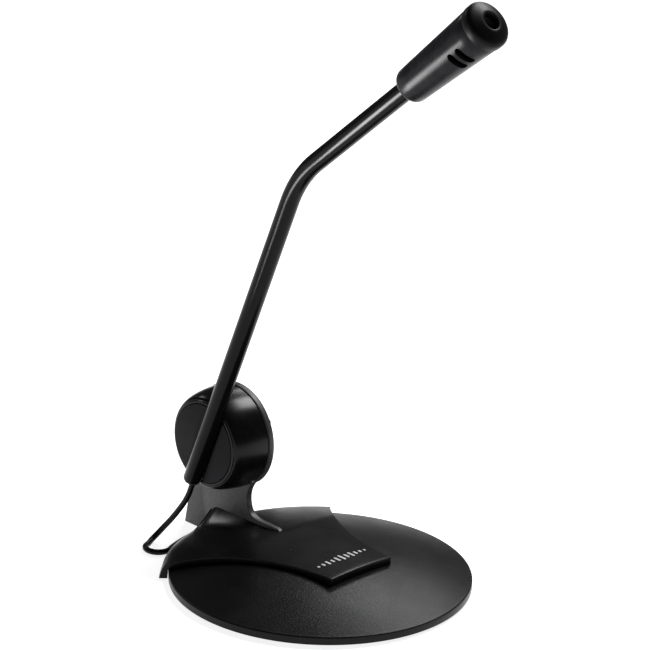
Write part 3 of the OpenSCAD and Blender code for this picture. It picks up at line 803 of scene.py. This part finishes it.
# ---------- finishes ----------
def finish_of(name, colour, rough, grain, bump, fade=0.25, gloss=0.5, metal=0.0, sheen=0.0):
    """A material with mottled colour and roughness, and grain of that size (m) and depth."""
    mat = bpy.data.materials.new(name)
    mat.use_nodes = True
    mat.diffuse_color = (*colour, 1)
    nodes, links = mat.node_tree.nodes, mat.node_tree.links
    bsdf = nodes["Principled BSDF"]
    bsdf.inputs["Metallic"].default_value = metal
    bsdf.inputs["Specular IOR Level"].default_value = gloss
    bsdf.inputs["Sheen Weight"].default_value = sheen
    where = nodes.new("ShaderNodeTexCoord")

    def noise(scale, detail, roughness=0.5):
        n = nodes.new("ShaderNodeTexNoise")
        n.inputs["Scale"].default_value = scale
        n.inputs["Detail"].default_value = detail
        n.inputs["Roughness"].default_value = roughness
        links.new(where.outputs["Object"], n.inputs["Vector"])
        return n.outputs["Fac"]

    def spread(source, low, high):
        m = nodes.new("ShaderNodeMapRange")
        m.inputs["From Min"].default_value, m.inputs["From Max"].default_value = 0.3, 0.7
        m.inputs["To Min"].default_value, m.inputs["To Max"].default_value = low, high
        links.new(source, m.inputs["Value"])
        return m.outputs["Result"]

    cloud = noise(90, 4)
    ramp = nodes.new("ShaderNodeValToRGB")
    ramp.color_ramp.elements[0].position, ramp.color_ramp.elements[1].position = 0.3, 0.7
    ramp.color_ramp.elements[0].color = (*[c * (1 - fade) for c in colour], 1)
    ramp.color_ramp.elements[1].color = (*[c * (1 + fade) for c in colour], 1)
    links.new(noise(1 / grain, 3), ramp.inputs["Fac"])
    links.new(ramp.outputs["Color"], bsdf.inputs["Base Color"])
    links.new(spread(cloud, rough * 0.9, rough * 1.1), bsdf.inputs["Roughness"])
    if bump:
        b = nodes.new("ShaderNodeBump")
        b.inputs["Strength"].default_value = 1.0
        b.inputs["Distance"].default_value = bump
        links.new(noise(1 / grain, 2, 0.6), b.inputs["Height"])
        links.new(b.outputs["Normal"], bsdf.inputs["Normal"])
    return mat


DARK = (0.004, 0.004, 0.0045)
# Of each material: colour, roughness, grain size and depth in metres, and what else differs
LOOKS = {
    "base_plastic": dict(
        colour=(0.0045, 0.0045, 0.005), rough=0.33, grain=0.0007, bump=0.00005, gloss=0.14
    ),
    "floor_plastic": dict(colour=(0.02, 0.02, 0.02), rough=0.6, grain=0.0008, bump=0.00004),
    "cover_plastic": dict(
        colour=(0.004, 0.004, 0.0045), rough=0.3, grain=0.0006, bump=0.00002, gloss=0.14
    ),
    "blade_plastic": dict(
        colour=(0.052, 0.052, 0.056), rough=0.4, grain=0.0008, bump=0.00001, gloss=0.3
    ),
    "flare_gloss": dict(colour=DARK, rough=0.25, grain=0.003, bump=0.00001),
    "mark_paint": dict(colour=(0.75, 0.75, 0.76), rough=0.5, grain=0.0006, bump=0.00001, fade=0.06),
    "knob_gloss": dict(colour=DARK, rough=0.24, grain=0.003, bump=0.00001, gloss=0.16),
    "pad_grain": dict(
        colour=(0.0125, 0.0125, 0.0145), rough=0.55, grain=0.0006, bump=0.00006, gloss=0.08
    ),
    "tube_gloss": dict(
        colour=(0.003, 0.003, 0.0035), rough=0.2, grain=0.004, bump=0.00001, gloss=0.11
    ),
    "head_gloss": dict(
        colour=(0.009, 0.009, 0.0105), rough=0.26, grain=0.003, bump=0.00001, gloss=0.09
    ),
    "cap_matte": dict(colour=DARK, rough=0.42, grain=0.0006, bump=0.00001, gloss=0.1),
    "rubber": dict(colour=(0.02, 0.02, 0.02), rough=0.7, grain=0.0009, bump=0.00003, gloss=0.3),
    "steel": dict(colour=(0.45, 0.45, 0.46), rough=0.35, grain=0.0015, bump=0.00002, metal=1),
    "screw_steel": dict(colour=(0.55, 0.55, 0.57), rough=0.3, grain=0.001, bump=0.00001, metal=1),
    "spring_steel": dict(colour=(0.3, 0.31, 0.35), rough=0.3, grain=0.001, bump=0.00001, metal=1),
    "washer_nylon": dict(colour=(0.7, 0.68, 0.6), rough=0.45, grain=0.001, bump=0.00001, fade=0.05),
    "brass": dict(
        colour=(0.7, 0.52, 0.26), rough=0.3, grain=0.001, bump=0.00001, fade=0.1, metal=1
    ),
    "foam": dict(
        colour=(0.015, 0.015, 0.015), rough=0.95, grain=0.0006, bump=0.0002, fade=0.6, gloss=0.1, sheen=0.3
    ),
    "capsule_can": dict(
        colour=(0.7, 0.7, 0.72), rough=0.3, grain=0.001, bump=0.00001, fade=0.1, metal=1
    ),
    "board": dict(colour=(0.02, 0.16, 0.08), rough=0.4, grain=0.001, bump=0.00002),
    "cable_skin": dict(
        colour=(0.005, 0.005, 0.005), rough=0.35, grain=0.0012, bump=0.00002, gloss=0.14
    ),
    "tie_plastic": dict(colour=(0.02, 0.02, 0.02), rough=0.5, grain=0.0007, bump=0.00002),
    "plug_rubber": dict(colour=(0.018, 0.018, 0.018), rough=0.5, grain=0.0007, bump=0.00003),
    "contact_metal": dict(
        colour=(0.8, 0.8, 0.82), rough=0.15, grain=0.002, bump=0.000005, fade=0.05, metal=1
    ),
    "band_plastic": dict(colour=(0.02, 0.02, 0.02), rough=0.4, grain=0.0006, bump=0.00001),
}
FINISHES = {name: finish_of(name, **look) for name, look in LOOKS.items()}


# ---------- pieces, bodies and finishes ----------
def place(obj, body, slot, *nodes):
    """Gives a piece its finish, its body and the frame nodes that it stands for."""
    obj.data.materials.clear()
    obj.data.materials.append(FINISHES[slot])
    if body:
        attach(obj, body)
    if nodes:
        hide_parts(*nodes)


place(base_shell, "base", "base_plastic", "base_disc")
place(foot_pad, "base", "rubber", "foot_pad")
place(cover, "base", "cover_plastic", "top_cover")
for flare in flares:
    place(flare, "base", "flare_gloss")
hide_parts("neck_flares")
place(mark, "base", "mark_paint", "level_mark")
place(blade, "base", "blade_plastic", "stand_blade")
place(pivot_cap, "base", "knob_gloss", "pivot_cap")
place(knob, "boom", "knob_gloss", "knob")
for pad in pads:
    place(pad, "boom", "pad_grain")
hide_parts("knob_pads")
place(boom, "boom", "tube_gloss", "boom_tube")
place(grommet, "boom", "rubber", "cable_grommet")
place(head, "boom", "head_gloss", "head_shell")
place(cap, "boom", "cap_matte", "front_cap")
place(relief, "base", "plug_rubber", "plug_relief")
place(grip, "base", "plug_rubber", "plug_grip")
place(pin, "base", "contact_metal", "plug_pin")
place(tie, "base", "tie_plastic", "coil_tie")
place(lead, None, "cable_skin", "lead_stub", "lead_run", "lead_coil", "lead_tail")
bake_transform(lead)

# The frame's inner parts keep their shape and get their record's finish
for part in frame["record"]["subparts"]:
    node = frame["nodes"][part["node"]]
    node.data.materials.clear()
    node.data.materials.append(FINISHES[part["material_slot"]])


# ---------- floor and light ----------
def make_floor():
    half = 4000
    points = [(-half, -half, 0), (half, -half, 0), (half, half, 0), (-half, half, 0)]
    floor = build("floor", points, [(0, 1, 2, 3)])
    mat = finish_of("floor_paint", (0.9, 0.9, 0.9), 0.8, 0.02, 0.0, 0.01)
    bsdf = mat.node_tree.nodes["Principled BSDF"]
    bsdf.inputs["Emission Color"].default_value = (1, 1, 1, 1)
    bsdf.inputs["Emission Strength"].default_value = 0.85
    floor.data.materials.append(mat)


def softbox(name, spot, aim, size, power, spread=180):
    """An area light at spot that faces aim, both in millimetres, of that size in metres."""
    data = bpy.data.lights.new(name, "AREA")
    data.shape = "RECTANGLE"
    data.size, data.size_y = size
    data.energy = power
    data.spread = math.radians(spread)
    light = add_object(name, data)
    spot, aim = Vector(spot) * MM, Vector(aim) * MM
    light.location = spot
    light.visible_camera = False
    light.rotation_euler = (spot - aim).to_track_quat("Z", "Y").to_euler()


def at(azimuth, elevation, distance, about=(0, 0, 0)):
    """A point in that direction; azimuth 0 is the front and 90 the right."""
    a, e = math.radians(azimuth), math.radians(elevation)
    way = Vector((math.sin(a) * math.cos(e), -math.cos(a) * math.cos(e), math.sin(e)))
    return Vector(about) + way * distance


make_floor()
hinge = tuple(PIVOT)
softbox("low_left", (-151, 39, 86), (-22, -45, 190), (0.05, 0.09), 0.04, spread=40)
softbox("right", at(122, 40, 1100), (10, 0, 0), (0.3, 0.25), 2.0)
softbox("high_right", at(84, 55, 900, hinge), hinge, (0.34, 0.28), 6.8)
softbox("behind", at(178, 35, 900, hinge), hinge, (0.2, 0.1), 0.45)

world = bpy.data.worlds.new("world")
world.use_nodes = True
world.node_tree.nodes["Background"].inputs["Color"].default_value = (1, 1, 1, 1)
world.node_tree.nodes["Background"].inputs["Strength"].default_value = 0.05
bpy.context.scene.world = world
bpy.context.scene.view_settings.view_transform = "Standard"

bpy.context.view_layer.update()
